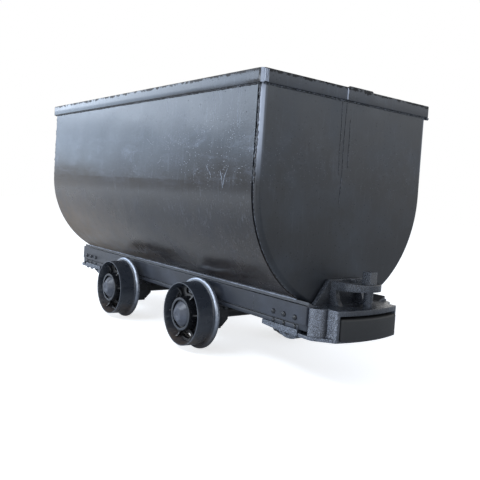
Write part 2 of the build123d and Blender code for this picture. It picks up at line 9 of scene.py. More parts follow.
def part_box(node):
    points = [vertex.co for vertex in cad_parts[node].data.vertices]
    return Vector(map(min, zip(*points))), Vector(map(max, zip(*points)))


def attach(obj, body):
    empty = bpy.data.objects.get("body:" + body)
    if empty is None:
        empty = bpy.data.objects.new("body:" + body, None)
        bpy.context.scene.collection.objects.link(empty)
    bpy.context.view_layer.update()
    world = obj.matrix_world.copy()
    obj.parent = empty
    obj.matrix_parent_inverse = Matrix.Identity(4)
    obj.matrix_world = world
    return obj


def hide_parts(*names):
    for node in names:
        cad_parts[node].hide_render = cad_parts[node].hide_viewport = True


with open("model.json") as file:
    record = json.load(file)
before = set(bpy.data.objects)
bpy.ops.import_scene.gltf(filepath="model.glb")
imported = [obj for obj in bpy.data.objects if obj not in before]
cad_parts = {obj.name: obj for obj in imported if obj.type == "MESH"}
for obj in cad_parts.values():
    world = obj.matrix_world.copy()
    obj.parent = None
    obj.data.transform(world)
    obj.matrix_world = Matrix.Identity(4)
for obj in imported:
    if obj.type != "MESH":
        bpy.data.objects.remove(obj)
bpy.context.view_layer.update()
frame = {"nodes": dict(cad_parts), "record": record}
nodes = frame["nodes"]
node_body = {node: body for body, held in frame["record"]["behaviour"]["bodies"].items()
             for node in held}

MM = 0.001
WHEELBASE_HALF = 0.375
AXLE_Z = 0.17
ENDS = (("front", 1), ("rear", -1))
HANDS = (("left", 1), ("right", -1))


# Colours and nodes

def hex_colour(code):
    """Linear colour of an sRGB hex value such as "3a3d42"."""
    channels = [int(code[i:i + 2], 16) / 255 for i in (0, 2, 4)]
    linear = [c / 12.92 if c <= 0.04045 else ((c + 0.055) / 1.055) ** 2.4 for c in channels]
    return (*linear, 1.0)


def new_material(name):
    material = bpy.data.materials.new(name)
    material.use_nodes = True
    return material, material.node_tree, material.node_tree.nodes["Principled BSDF"]


def add_node(tree, kind, settings=None, inputs=None, links=None):
    """A node with its settings, its input values, and links given as input: (node, output)."""
    node = tree.nodes.new(kind)
    for key, value in (settings or {}).items():
        setattr(node, key, value)
    for key, value in (inputs or {}).items():
        node.inputs[key].default_value = value
    for key, (source, output) in (links or {}).items():
        tree.links.new(source.outputs[output], node.inputs[key])
    return node


def connect(tree, shader, sources):
    """Join (node, output) pairs to the shader's sockets of these names."""
    for socket, (source, output) in sources.items():
        tree.links.new(source.outputs[output], shader.inputs[socket])


# Each of these gives a (node, output) pair, and takes such pairs for its links

def object_place(tree):
    return add_node(tree, "ShaderNodeTexCoord"), "Object"


def face_normal(tree):
    return add_node(tree, "ShaderNodeNewGeometry"), "Normal"


def axes_of(tree, vector):
    """The X, Y and Z of a vector, as three pairs."""
    node = add_node(tree, "ShaderNodeSeparateXYZ", links={"Vector": vector})
    return (node, "X"), (node, "Y"), (node, "Z")


def pattern_scale(size_mm):
    """Texture scale whose features are about this size in millimetres."""
    return 1 / (size_mm * MM)


def noise(tree, place, size_mm, detail, roughness=0.5, distortion=0.0):
    """Soft patches of about this size."""
    return add_node(tree, "ShaderNodeTexNoise",
                    inputs={"Scale": pattern_scale(size_mm), "Detail": detail,
                            "Roughness": roughness, "Distortion": distortion},
                    links={"Vector": place}), "Fac"


def dots(tree, place, spacing_mm, randomness=1.0):
    """Distance from the nearest of scattered points, in spacings."""
    return add_node(tree, "ShaderNodeTexVoronoi",
                    inputs={"Scale": pattern_scale(spacing_mm), "Randomness": randomness},
                    links={"Vector": place}), "Distance"


def mapped(tree, place, scale, turn_y=0.0):
    """The place turned about Y, in degrees, and scaled, which draws a pattern out."""
    return add_node(tree, "ShaderNodeMapping",
                    inputs={"Rotation": (0, math.radians(turn_y), 0), "Scale": scale},
                    links={"Vector": place}), "Vector"


def ramp(tree, value, start, end, low=0.0, high=1.0, smooth=False):
    """low up to start and high from end on, where end may be the smaller."""
    return add_node(tree, "ShaderNodeMapRange",
                    {"interpolation_type": "SMOOTHSTEP" if smooth else "LINEAR"},
                    {"From Min": start, "From Max": end, "To Min": low, "To Max": high},
                    {"Value": value}), "Result"


def calculate(tree, operation, *terms):
    """A Math node of terms that are numbers or pairs."""
    links = {i: term for i, term in enumerate(terms) if isinstance(term, tuple)}
    numbers = {i: term for i, term in enumerate(terms) if i not in links}
    return add_node(tree, "ShaderNodeMath", {"operation": operation}, numbers, links), "Value"


def times(tree, first, *others):
    for other in others:
        first = calculate(tree, "MULTIPLY", first, other)
    return first


def blend(tree, under, over, amount):
    """Paint of the hex colour over, by amount, on under, a hex colour or a pair."""
    inputs, links = {"B": hex_colour(over)}, {"Factor": amount}
    if isinstance(under, str):
        inputs["A"] = hex_colour(under)
    else:
        links["A"] = under
    return add_node(tree, "ShaderNodeMix", {"data_type": "RGBA"}, inputs, links), "Result"


def bump(tree, height, strength, depth_mm, beneath=None):
    """Relief of this depth, on top of the bump beneath it if there is one."""
    links = {"Height": height}
    if beneath:
        links["Normal"] = beneath
    return add_node(tree, "ShaderNodeBump",
                    inputs={"Strength": strength, "Distance": depth_mm * MM},
                    links=links), "Normal"


# Materials. Heights and distances in them are metres in the car's frame

def black_enamel(name, base, smudge, dust_and_ground_tint, roughness, dust_and_tint_top=0.0, chip_from=9.0, wave=0.35,
                 runs=0.0, rear_dust_and_reflection=0.0, grit_cover=0.5, smears=0.0, end_haze=0.0, top_painted_shade=0.0,
                 corner=None):
    """Black alkyd enamel sprayed on hot-rolled plate: a semi-gloss skin that
    mirrors the sky softly, over a slow wave in the plate. It is smudged in
    patches, streaked by rain, spotted with pale specks of grit, dusty below a
    given height and more so to the rear, where on the tub the brown ground's
    reflection is painted in too, and chipped dark above chip_from. Faces that
    look along the track may be hazed, and upward ones darkened as painted
    shade from what overhangs them. corner gives the distances from mid-length
    between which a turned corner carries a painted highlight, and how far from
    the centre line it begins."""
    material, tree, shader = new_material(name)
    place = object_place(tree)
    x, y, z = axes_of(tree, place)
    facing_x, _, facing_z = axes_of(tree, face_normal(tree))

    cloud = noise(tree, place, 210, 7, 0.62)
    colour = blend(tree, base, smudge, ramp(tree, cloud, 0.46, 0.72))

    # Rain runs: a pattern about 14 mm wide, drawn out ten times as long
    rain = noise(tree, mapped(tree, place, (1, 1, 0.1)), 14, 5, 0.65)
    colour = blend(tree, colour, "5c626c", ramp(tree, rain, 0.56, 0.72, 0, runs))

    # Pale smears that a cloth left, wiped slantwise, in a belt above the bend
    wipe = noise(tree, mapped(tree, place, (0.3, 1, 1), turn_y=20), 60, 8, 0.72, 0.6)
    belt = times(tree, ramp(tree, z, 1.12, 0.92, smooth=True),
                 ramp(tree, z, 0.74, 0.84, smooth=True))
    smear = times(tree, belt, ramp(tree, wipe, 0.5, 0.8, 0, smears))
    colour = blend(tree, colour, "848b9b", smear)

    # Dust, thicker lower down and to the rear, which on the tub's belly also paints in the brown
    # ground's reflection
    drift = noise(tree, place, 60, 6, 0.7)
    dust_and_ground_reflection = times(tree, ramp(tree, z, dust_and_tint_top, dust_and_tint_top - 0.28, 0, 0.9),
                  ramp(tree, x, 0.1, -0.9, 0.4, 1.0 + rear_dust_and_reflection), drift)
    colour = blend(tree, colour, dust_and_ground_tint, dust_and_ground_reflection)

    # Pale specks up to 4 mm wide, about one in every 11 mm, in drifts, most of
    # them in the belt and toward the front
    grit = ramp(tree, dots(tree, place, 11), 0.17, 0.11)
    cover = times(tree, ramp(tree, x, -0.4, 0.7, 0.15),
                  ramp(tree, drift, 0.42, 0.56, 0, grit_cover), ramp(tree, belt, 0, 1, 0.25))
    colour = blend(tree, colour, "b9bec9", times(tree, grit, cover))

    # Chips down to dark oxide, only near the top edge
    flake = noise(tree, place, 26, 5, 0.7)
    high = ramp(tree, z, chip_from, chip_from + 0.012, 0, 0.3)
    chipped = ramp(tree, calculate(tree, "ADD", flake, high), 0.76, 0.79)
    colour = blend(tree, colour, "141416", chipped)

    # Upward faces darkened: painted shade under what overhangs them
    colour = blend(tree, colour, "08090a", ramp(tree, facing_z, 0.35, 0.6, 0, top_painted_shade))
    # A painted highlight along the turned corners, on their outer faces, fading out lower down
    if corner:
        begins_x, ends_x, begins_y = corner
        along = calculate(tree, "ABSOLUTE", x)
        across = calculate(tree, "ABSOLUTE", y)
        turned = times(tree, ramp(tree, along, begins_x, begins_x + 0.004),
                       ramp(tree, along, ends_x, ends_x - 0.002),
                       ramp(tree, across, begins_y - 0.002, begins_y + 0.002))
        outward = ramp(tree, times(tree, facing_x, x), 0.02, 0.15)
        upper = times(tree, ramp(tree, z, 0.78, 1.0, 0, 0.78, smooth=True), outward)
        colour = blend(tree, colour, "b4bac7", times(tree, turned, upper))

    # Dust, chips and haze take the gloss away, and so do pinholes in the
    # paint, drawn 4 mm wide so that they show
    gloss = ramp(tree, cloud, 0.3, 0.7, roughness - 0.05, roughness + 0.09)
    dusted = calculate(tree, "MULTIPLY_ADD", dust_and_ground_reflection, 0.3, gloss)
    pinholes = ramp(tree, dots(tree, place, 21, 0.95), 0.12, 0.07, 0, 0.5)
    pitted = calculate(tree, "ADD", dusted, pinholes)
    bare = calculate(tree, "MULTIPLY_ADD", chipped, 0.45, pitted)
    endways = calculate(tree, "ABSOLUTE", facing_x)
    hazed = calculate(tree, "MULTIPLY_ADD", endways, end_haze, bare)

    plate = bump(tree, noise(tree, place, 300, 1), wave, 12)
    skin = bump(tree, noise(tree, place, 5, 4), 0.16, 1, plate)
    connect(tree, shader, {"Base Color": colour, "Roughness": hazed, "Normal": skin})
    return material


def cast_enamel(name, base, worn, roughness, lump_mm, relief_mm, painted_glint=0.0, side_painted_glint=0.0):
    """Black gloss enamel brushed over sand-cast steel: the sand left a skin of
    small lumps, and grit and grease dull it in patches. Pale glints are
    painted on the lumps as painted highlights, more of them on the faces to
    either side of the car, which the light catches most."""
    material, tree, shader = new_material(name)
    place = object_place(tree)
    patch = noise(tree, place, 45, 5, 0.65)
    lumps = noise(tree, place, lump_mm, 4, 0.6)
    paint = blend(tree, base, worn, ramp(tree, patch, 0.36, 0.66))

    # Pale painted glints on the lumps' tops, more on faces that turn to either side of the car
    _, facing_y, _ = axes_of(tree, face_normal(tree))
    sideways = calculate(tree, "ABSOLUTE", facing_y)
    amount = ramp(tree, sideways, 0.15, 0.6, painted_glint, painted_glint + side_painted_glint)
    glint_mask = times(tree, ramp(tree, lumps, 0.46, 0.61), amount)
    colour = blend(tree, paint, "989eab", glint_mask)

    gloss = ramp(tree, patch, 0.3, 0.7, roughness - 0.06, roughness + 0.12)
    skin = bump(tree, lumps, 1.0, relief_mm)
    connect(tree, shader, {"Base Color": colour, "Roughness": gloss, "Normal": skin})
    return material


def wheel_enamel(name, base, grime):
    """Black enamel over a cast and turned wheel: smooth and nearly black on the
    tread, with brown greasy grime under the hub, a flange tip of burnished
    metal with a pale painted highlight that fades lower down, a hollow
    darkened as painted shade and outer faces lightened grey as a painted
    highlight."""
    material, tree, shader = new_material(name)
    place = object_place(tree)
    x, y, z = axes_of(tree, place)
    patch = noise(tree, place, 40, 6, 0.7)
    creeping = times(tree, ramp(tree, z, AXLE_Z, 0.05), patch)
    film = ramp(tree, creeping, 0.22, 0.6, 0, 0.75)
    colour = blend(tree, base, grime, film)

    # Inside the tread's rim the hollow of the web is darkened: painted shade
    from_axle = add_node(tree, "ShaderNodeCombineXYZ",
                         links={"X": calculate(tree, "ABSOLUTE", x), "Z": z}), "Vector"
    radial = add_node(tree, "ShaderNodeVectorMath", {"operation": "DISTANCE"},
                      {1: (WHEELBASE_HALF, 0, AXLE_Z)}, {0: from_axle}), "Value"
    colour = blend(tree, colour, "0e0f12", ramp(tree, radial, 0.134, 0.128, 0, 0.95))

    # The flange's tip, beyond 157 mm from the axle, is burnished metal, painted pale as a
    # highlight that fades out lower down and in patches
    bright = times(tree, ramp(tree, z, 0.08, 0.2, 0.15), ramp(tree, patch, 0.25, 0.6, 0.4, 0.85))
    burnish_and_highlight = times(tree, ramp(tree, radial, 0.157, 0.163), bright)
    colour = blend(tree, colour, "aab0bb", burnish_and_highlight)

    # The outermost faces are lightened grey as a painted highlight, that of the rim more than the
    # hub's
    across = calculate(tree, "ABSOLUTE", y)
    outer_face_highlight = times(tree, ramp(tree, across, 0.3875, 0.3905, 0, 0.8),
                ramp(tree, radial, 0.1, 0.11, 0.45))
    colour = blend(tree, colour, "5a5e66", outer_face_highlight)

    gloss = ramp(tree, patch, 0.3, 0.7, 0.24, 0.36)
    skin = bump(tree, noise(tree, place, 12, 3), 0.5, 1.2)
    connect(tree, shader, {"Base Color": colour, "Metallic": burnish_and_highlight, "Roughness": gloss,
                           "Normal": skin})
    return material


def moulded_rubber(name):
    """Moulded natural rubber: matte and almost even, so it takes no highlight."""
    material, tree, shader = new_material(name)
    place = object_place(tree)
    colour = blend(tree, "090a0b", "18191b", noise(tree, place, 70, 6, 0.7))
    grain = bump(tree, noise(tree, place, 4, 3), 0.4, 1)
    shader.inputs["Roughness"].default_value = 0.62
    connect(tree, shader, {"Base Color": colour, "Normal": grain})
    return material


# Tub: glossy blue-black that mirrors the sky, smeared, speckled and dusty below, with the brown
# ground's reflection painted in there as well
tub_enamel = black_enamel("black_enamel_on_tub_plate", "0d1118", "161c27", "6b5e51", 0.165,
                          dust_and_tint_top=0.79, runs=0.3, rear_dust_and_reflection=1.3, grit_cover=0.75, smears=0.38)
# End plates: duller, an even dark grey, with a painted highlight on the turned edge
end_enamel = black_enamel("black_enamel_on_end_plate", "0c0f14", "1d232b", "1a1a1b", 0.38,
                          dust_and_tint_top=0.45, runs=0.08, grit_cover=0.15, smears=0.1,
                          corner=(0.989, 1.0062, 0.485))
# Rim bar: the glossiest, chipped along its top and with a painted highlight at its corners
rim_enamel = black_enamel("black_enamel_on_flat_bar", "1a1d23", "2b3139", "34322f", 0.13,
                          chip_from=1.2, wave=0.1, runs=0.2, grit_cover=0.25, end_haze=0.3,
                          corner=(1.003, 1.0185, 0.512))
# Sills and cross members: a greyer satin, dusty, and darkened on top as painted shade under the
# belly
sill_enamel = black_enamel("black_enamel_on_rolled_section", "292e37", "3f4551", "4e4a48", 0.32,
                           dust_and_tint_top=0.4, wave=0.15, rear_dust_and_reflection=0.3, top_painted_shade=0.85)
# Weld beads and thin black runs: a dull lumpy line that draws each joint
weld_enamel = cast_enamel("black_enamel_on_weld_bead", "08090a", "101114", 0.42, 9, 1.0, 0.3)
# Arrises of the castings: a thin pale line round their faces, a painted highlight
arris_highlight_enamel = cast_enamel("casting_arris_with_painted_highlight", "4c515b", "bcc2ce", 0.2, 4, 0.5, 0.3)
# Sill seams and rim joints: a bead painted pale and glinting, a painted highlight along each joint
seam_highlight_enamel = cast_enamel("weld_seam_with_painted_highlight", "8a8f9a", "b4b9c4", 0.22, 7, 1.6, 0.9)
# Buffers: a grainy skin with pale painted glints, most on the faces to either side
buffer_enamel = cast_enamel("black_enamel_on_sand_casting", "1c1f25", "272b32", 0.24, 2.4, 1.0,
                            0.04, side_painted_glint=0.96)
# Brackets and pins: darker and less grainy than the buffers, with fewer painted glints
bracket_enamel = cast_enamel("black_enamel_on_forged_bracket", "14161a", "1e2228", 0.2, 3, 1.2,
                             0.1, side_painted_glint=0.24)
# Axle seats and keepers: dull black with a coarse skin
seat_enamel = cast_enamel("black_enamel_on_axle_seat", "131416", "232427", 0.4, 12, 1.5)
# Rivets and bolts: black, with one small highlight on each head
rivet_enamel = cast_enamel("black_enamel_on_rivet_head", "17191d", "2b2e35", 0.22, 9, 0.5)
# Wheels: black treads between a flange and a rim lightened by painted highlights
tread_enamel = wheel_enamel("black_enamel_on_cast_wheel", "2d3138", "4a3f36")
# Hub caps: a satin grey on which the cone and the flat face part softly
cap_enamel = cast_enamel("black_satin_enamel_on_cap", "3c3f47", "535761", 0.32, 10, 0.5)
# Axles: nearly black, with brownish grease
axle_enamel = cast_enamel("greasy_black_enamel_on_axle", "0e0e10", "201d1a", 0.35, 14, 0.6)
# Runs on the near side: thin pale grey strokes
pale_run = cast_enamel("pale_run_of_primer", "6d727c", "8a909c", 0.4, 4, 0.5, 0.6)
# Buffer pads: flat black beside the glitter of the castings
pad_rubber = moulded_rubber("moulded_rubber")

FINISHES = (  # start of the node's name, material and record slot: the first that fits
    ("tub_sheet", tub_enamel, "tub_plate"), ("tub_end", end_enamel, "tub_plate"),
    ("rim_", rim_enamel, "rim_bar"), ("sill_", sill_enamel, "sill_steel"),
    ("cross_", sill_enamel, "sill_steel"), ("buffer_pad", pad_rubber, "rubber_pad"),
    ("buffer_", buffer_enamel, "buffer_casting"), ("coupler_", bracket_enamel, "buffer_casting"),
    ("coupling_", bracket_enamel, "pin_steel"), ("axle_seat", seat_enamel, "seat_casting"),
    ("axle_keeper", seat_enamel, "seat_casting"), ("axle_", axle_enamel, "axle_steel"),
    ("wheel_", tread_enamel, "wheel_casting"), ("hub_cap", cap_enamel, "hub_cap"),
)


def finish_of(name):
    """Material and record slot of a CAD node."""
    return next((material, slot) for start, material, slot in FINISHES if name.startswith(start))


for name, node in nodes.items():
    node.data.materials.clear()
    node.data.materials.append(finish_of(name)[0])


# Camera: fitted to points of the tub, rim, sills, wheels and buffer

def photo_camera():
    camera = bpy.data.cameras.new("camera")
    camera.sensor_width = 36.0
    camera.lens = 44.085
    camera.shift_x = 0.0140
    camera.shift_y = -0.0529
    camera.clip_start = 0.05
    view = bpy.data.objects.new("camera", camera)
    bpy.context.scene.collection.objects.link(view)
    right = Vector((0.6136, 0.7868, 0.0662)).normalized()
    back = Vector((0.7863, -0.6166, 0.0384)).normalized()
    up = back.cross(right).normalized()
    turn = Matrix((right, up, back)).transposed().to_4x4()
    view.matrix_world = Matrix.Translation((2.6662, -1.9092, 0.7574)) @ turn
    bpy.context.scene.camera = view


photo_camera()


# Modelling by hand

MERGE_MM = 0.05
UPRIGHT = (0, 0, 0)
ALONG_X = (0, math.radians(90), 0)
ALONG_Y = (math.radians(90), 0, 0)


def start_clean():
    """Leave edit mode and let go of everything."""
    if bpy.context.object and bpy.context.object.mode != "OBJECT":
        bpy.ops.object.mode_set(mode="OBJECT")
    bpy.ops.object.select_all(action="DESELECT")


def hold(piece):
    """Select only this piece and make it active."""
    start_clean()
    piece.select_set(True)
    bpy.context.view_layer.objects.active = piece


def pick(piece, kind, test):
    """In edit mode, select the faces or edges of the piece that pass the test."""
    bpy.ops.object.mode_set(mode="EDIT")
    bpy.ops.mesh.select_mode(type=kind)
    bpy.ops.mesh.select_all(action="DESELECT")
    bpy.ops.object.mode_set(mode="OBJECT")
    for item in piece.data.polygons if kind == "FACE" else piece.data.edges:
        item.select = test(item)
    bpy.ops.object.mode_set(mode="EDIT")


def settle(piece):
    """Put the piece's place into its mesh."""
    hold(piece)
    bpy.ops.object.transform_apply(location=True, rotation=True, scale=True)


def apply_modifier(piece, kind, **settings):
    hold(piece)
    modifier = piece.modifiers.new(kind.lower(), kind)
    for key, value in settings.items():
        setattr(modifier, key, value)
    bpy.ops.object.modifier_apply(modifier=modifier.name)


def bevel_edges(piece, width_mm, segments, least_degrees, **settings):
    """Round the edges at which the faces turn by at least these degrees."""
    apply_modifier(piece, "BEVEL", width=width_mm * MM, segments=segments, limit_method="ANGLE",
                   angle_limit=math.radians(least_degrees), use_clamp_overlap=True, **settings)


def paint_piece(piece, *materials):
    piece.data.materials.clear()
    for material in materials:
        piece.data.materials.append(material)


def dress(piece, name, material, body, smooth_angle):
    """Name, paint and smooth a finished piece, and tie it to its body."""
    hold(piece)
    piece.name = name
    piece.data.name = name
    if material.name not in piece.data.materials:
        paint_piece(piece, material)
    bpy.ops.object.shade_smooth_by_angle(angle=math.radians(smooth_angle))
    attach(piece, body)


# Rounded pieces: copies of the CAD nodes whose arrises catch the light

def copy_of_node(name):
    """A merged copy of a CAD node."""
    start_clean()
    piece = nodes[name].copy()
    piece.data = nodes[name].data.copy()
    piece.parent = None
    bpy.context.scene.collection.objects.link(piece)
    hold(piece)
    bpy.ops.object.mode_set(mode="EDIT")
    bpy.ops.mesh.select_all(action="SELECT")
    bpy.ops.mesh.remove_doubles(threshold=MERGE_MM * MM)
    bpy.ops.object.mode_set(mode="OBJECT")
    return piece


def rounded_piece(name, round_mm, segments=2, arris=None, corner_mm=0):
    """A copy of a CAD node with its arrises rounded and, if it is given an arris
    finish, painted with it there as a painted highlight. With corner_mm, its
    upright outer corners are bent round first."""
    piece = copy_of_node(name)
    bpy.ops.object.mode_set(mode="EDIT")
    bpy.ops.mesh.select_all(action="SELECT")
    bpy.ops.mesh.dissolve_limited(angle_limit=math.radians(0.5))
    bpy.ops.object.mode_set(mode="OBJECT")
    if corner_mm:
        far_x, far_y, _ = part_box(name)[1]
        points = piece.data.vertices
        pick(piece, "EDGE", lambda edge: all(
            abs(points[i].co.x) > far_x - MM and abs(points[i].co.y) > far_y - MM
            for i in edge.vertices))
        bpy.ops.mesh.bevel(offset=corner_mm * MM, segments=4, affect="EDGES")
        bpy.ops.object.mode_set(mode="OBJECT")
    material, slot = finish_of(name)
    paint_piece(piece, material, arris or material)
    bevel_edges(piece, round_mm, segments, 40, material=1)
    dress(piece, f"{name}_rounded", material, node_body[name], smooth_angle=35)
    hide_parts(name)


for end, _ in ENDS:
    rounded_piece(f"buffer_{end}", 2.5, 3, arris=arris_highlight_enamel)
    rounded_piece(f"coupler_bracket_{end}", 3.6, 3, arris=arris_highlight_enamel)
    rounded_piece(f"coupling_pin_{end}", 3, arris=arris_highlight_enamel)
    rounded_piece(f"buffer_pad_{end}", 4, 3)
    for hand, _ in HANDS:
        rounded_piece(f"wheel_{end}_{hand}", 2.6)
rounded_piece("rim_band", 3, 3, corner_mm=13)
for hand, _ in HANDS:
    rounded_piece(f"sill_{hand}", 2.5)


# Hub caps

CAP_SEAT_Y = 0.379
CAP_FOOT_MM = (58, 6)  # radius, and distance from the seat
CAP_RINGS_MM = ((34, 27.2), (31, 30), (13, 30), (11.5, 28.8))


def turned_cap(name):
    """A pressed cap with a crisp cone, a flat face and a shallow centre dish."""
    low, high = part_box(name)
    side = 1 if high[1] > 0 else -1
    middle_x = (low[0] + high[0]) / 2
    radius, reach = CAP_FOOT_MM
    start_clean()
    bpy.ops.mesh.primitive_cylinder_add(
        vertices=72, radius=radius * MM, depth=reach * MM, rotation=ALONG_Y,
        location=(middle_x, side * (CAP_SEAT_Y + reach / 2 * MM), AXLE_Z))
    cap = bpy.context.object
    settle(cap)
    face_y = side * (CAP_SEAT_Y + reach * MM)
    pick(cap, "FACE", lambda face: abs(face.center.y - face_y) < 0.1 * MM)
    for next_radius, next_reach in CAP_RINGS_MM:
        bpy.ops.mesh.extrude_region_move(TRANSFORM_OT_translate={
            "value": (0, side * (next_reach - reach) * MM, 0)})
        shrink = next_radius / radius
        bpy.ops.transform.resize(value=(shrink, 1, shrink),
                                 center_override=(middle_x, face_y, AXLE_Z))
        radius, reach = next_radius, next_reach
    bpy.ops.object.mode_set(mode="OBJECT")
    bevel_edges(cap, 0.9, 2, 12)
    material, slot = finish_of(name)
    dress(cap, f"{name}_turned", material, node_body[name], smooth_angle=16)
    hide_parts(name)


for end, _ in ENDS:
    for hand, _ in HANDS:
        turned_cap(f"hub_cap_{end}_{hand}")


# Weld beads and runs of paint

BEAD_STEP_MM = 9
BEAD_TURN_STEPS = 90
bead_ripple = bpy.data.textures.new("bead_ripple", "CLOUDS")
bead_ripple.noise_scale = 7 * MM
bead_ripple.noise_depth = 1


def weld_bead(name, start, facing, moves, radius_mm, material=weld_enamel,
              ripple=1.3):
    """A bead laid from start: a small ring drawn along runs and round turns,
    then rippled. A run is ("run", (x, y, z)) and a turn ("turn", centre, axis,
    degrees)."""
    start_clean()
    bpy.ops.mesh.primitive_circle_add(vertices=6, radius=radius_mm * MM, fill_type="NGON",
                                      location=start, rotation=facing)
    piece = bpy.context.object
    settle(piece)
    bpy.ops.object.mode_set(mode="EDIT")
    bpy.ops.mesh.select_all(action="SELECT")
    for kind, *rest in moves:
        if kind == "run":
            way = Vector(rest[0])
            steps = max(1, round(way.length / (BEAD_STEP_MM * MM)))
            for _ in range(steps):
                bpy.ops.mesh.extrude_region_move(TRANSFORM_OT_translate={"value": way / steps})
        else:
            centre, axis, degrees = rest
            bpy.ops.mesh.spin(steps=BEAD_TURN_STEPS, angle=math.radians(degrees), center=centre,
                              axis=axis)
    bpy.ops.mesh.select_all(action="SELECT")
    bpy.ops.mesh.remove_doubles(threshold=MERGE_MM * MM)
    bpy.ops.mesh.normals_make_consistent(inside=False)
    bpy.ops.object.mode_set(mode="OBJECT")
    apply_modifier(piece, "DISPLACE", texture=bead_ripple, strength=radius_mm * ripple * MM,
                   mid_level=0.5, texture_coords="LOCAL")
    dress(piece, name, material, "car", smooth_angle=70)


BEND_Z = 0.796  # where the flat sides pass into the round belly
SHEET_EDGE_X, SHEET_R = 0.9865, 0.5045
INNER_EDGE_X, INNER_R = 0.9585, 0.5035
INNER_TOP_Z = 1.15
RIM_LOW_Z = 1.1655
END_X = 1.0065
SIDE_Y = 0.513
END_WELD_HALF_Y = 0.503
SIDE_WELD_HALF_X = 0.995
SILL_SEAM_Y, SILL_SEAM_Z, SILL_SEAM_HALF_X = 0.242, 0.343, 0.985
SILL_FACE_Y = 0.2495
SILL_BUTT_X, SILL_BUTT_LOW_Z, SILL_BUTT_HEIGHT = 0.732, 0.252, 0.065
for end, along in ENDS:
    # Along the sheet's edge: heavy on the two sides, light round the belly
    weld_bead(f"sheet_weld_{end}", (along * SHEET_EDGE_X, -SHEET_R, BEND_Z), UPRIGHT,
              (("turn", (along * SHEET_EDGE_X, 0, BEND_Z), (-1, 0, 0), 180),), 3.5)
    for hand, side in HANDS:
        weld_bead(f"sheet_weld_{end}_{hand}", (along * SHEET_EDGE_X, side * SHEET_R, RIM_LOW_Z),
                  UPRIGHT, (("run", (0, 0, BEND_Z - RIM_LOW_Z)),), 6, ripple=2.6)
    # Inside, where the end plate's turned edge meets the sheet
    weld_bead(f"inner_weld_{end}", (along * INNER_EDGE_X, -INNER_R, INNER_TOP_Z), UPRIGHT,
              (("run", (0, 0, BEND_Z - INNER_TOP_Z)),
               ("turn", (along * INNER_EDGE_X, 0, BEND_Z), (-1, 0, 0), 180),
               ("run", (0, 0, INNER_TOP_Z - BEND_Z))), 4)
    # Under the rim across the end plate
    weld_bead(f"rim_end_weld_{end}", (along * END_X, -END_WELD_HALF_Y, RIM_LOW_Z), ALONG_Y,
              (("run", (0, 2 * END_WELD_HALF_Y, 0)),), 4.5)
for hand, side in HANDS:
    # Under the rim along the side, and between the sill and the belly
    weld_bead(f"rim_side_weld_{hand}", (-SIDE_WELD_HALF_X, side * SIDE_Y, RIM_LOW_Z), ALONG_X,
              (("run", (2 * SIDE_WELD_HALF_X, 0, 0)),), 4.5)
    weld_bead(f"sill_weld_{hand}", (-SILL_SEAM_HALF_X, side * SILL_SEAM_Y, SILL_SEAM_Z), ALONG_X,
              (("run", (2 * SILL_SEAM_HALF_X, 0, 0)),), 2.6, seam_highlight_enamel)
    # Where the rolled section was joined end to end
    weld_bead(f"sill_butt_{hand}", (-side * SILL_BUTT_X, side * SILL_FACE_Y, SILL_BUTT_LOW_Z),
              UPRIGHT, (("run", (0, 0, SILL_BUTT_HEIGHT)),), 1.6)

NEAR_SIDE_Y = -0.5115
PAINT_RUNS = (  # pale, on the near side: start (x, z), way to the end, half its width in mm
    ((0.803, 0.770), (-0.010, 0.046), 1.8), ((0.793, 0.812), (-0.014, 0.030), 1.8),
    ((0.806, 0.782), (0.006, 0.038), 1.8), ((0.813, 0.818), (0.014, 0.030), 1.8),
    ((0.699, 0.838), (-0.018, 0.022), 1.8), ((0.717, 0.820), (-0.010, 0.014), 1.8),
    ((0.698, 1.158), (0.016, -0.118), 1.0), ((0.716, 1.158), (0.008, -0.090), 0.8),
    ((0.863, 1.158), (0.010, -0.150), 1.0), ((0.344, 1.158), (0.008, -0.058), 0.9),
    ((0.174, 0.985), (0.059, -0.033), 1.0),
)
for number, ((x, z), (step_x, step_z), radius_mm) in enumerate(PAINT_RUNS):
    weld_bead(f"paint_run_{number}", (x, NEAR_SIDE_Y, z), UPRIGHT,
              (("run", (step_x, 0, step_z)),), radius_mm, material=pale_run)

END_RUNS = (  # thin and black, down the front end beside the splice: y, top, length, wander
    (-0.075, 1.158, 0.3, 0.004), (-0.046, 1.158, 0.42, -0.005), (-0.02, 1.09, 0.2, 0.003),
)
for number, (y, z, length, wander) in enumerate(END_RUNS):
    weld_bead(f"end_run_{number}", (END_X, y, z), UPRIGHT,
              (("run", (0, wander, -length * 0.4)), ("run", (0, -wander / 2, -length * 0.25)),
               ("run", (0, wander, -length * 0.35))), 1.0)
# A lump of weld under the rim's far front corner
weld_bead("rim_corner_weld", (1.009, 0.502, 1.161), ALONG_Y, (("run", (0, 0.016, 0)),), 7)
RIM_FACE_X, RIM_JOINT_LOW_Z, RIM_JOINT_HEIGHT = 1.0182, 1.169, 0.046
RIM_JOINTS = (  # at the rim bar's near corner and beside the splice: y, bead radius in mm
    (-0.511, 3.5), (-0.504, 3.5), (-0.497, 3), (-0.06, 3.5),
)
for number, (y, radius_mm) in enumerate(RIM_JOINTS):
    weld_bead(f"rim_joint_{number}", (RIM_FACE_X, y, RIM_JOINT_LOW_Z), UPRIGHT,
              (("run", (0, 0, RIM_JOINT_HEIGHT)),), radius_mm, seam_highlight_enamel)


# Rivets and bolts

